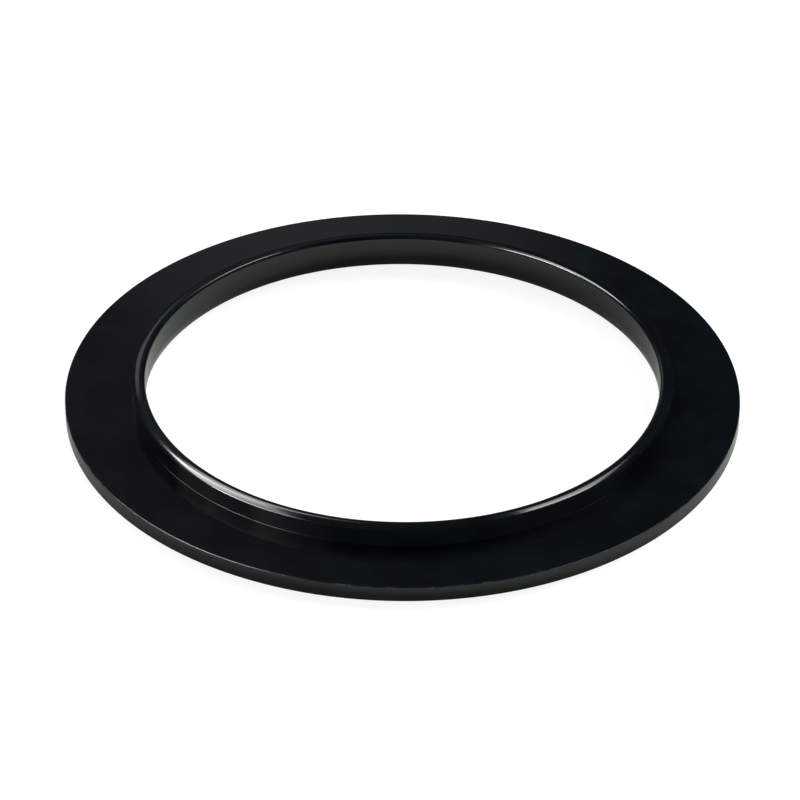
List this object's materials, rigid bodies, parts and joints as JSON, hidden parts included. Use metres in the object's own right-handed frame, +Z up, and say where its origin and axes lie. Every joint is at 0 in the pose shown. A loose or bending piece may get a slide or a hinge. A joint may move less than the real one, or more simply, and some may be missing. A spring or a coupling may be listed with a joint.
{
  "type": "toilet flange seal ring",
  "caption": "Flat round seal ring for a toilet flange, with a raised lip round its wide bore, moulded in black rubber.",
  "frame": {"origin": "centre of the bore on the underside, which is the bottom centre of the whole ring", "axes": "+Z up along the bore's axis, from the floor fitting towards the toilet; X and Y lie in the underside, and the ring is the same all round"},
  "size_m": [0.1334, 0.1334, 0.0071],
  "materials": {
    "moulded_rubber": "satin black EPDM rubber, straight from a smooth mould"
  },
  "bodies": {
    "root": {"seal_ring": "moulded_rubber"}
  },
  "joints": []
}
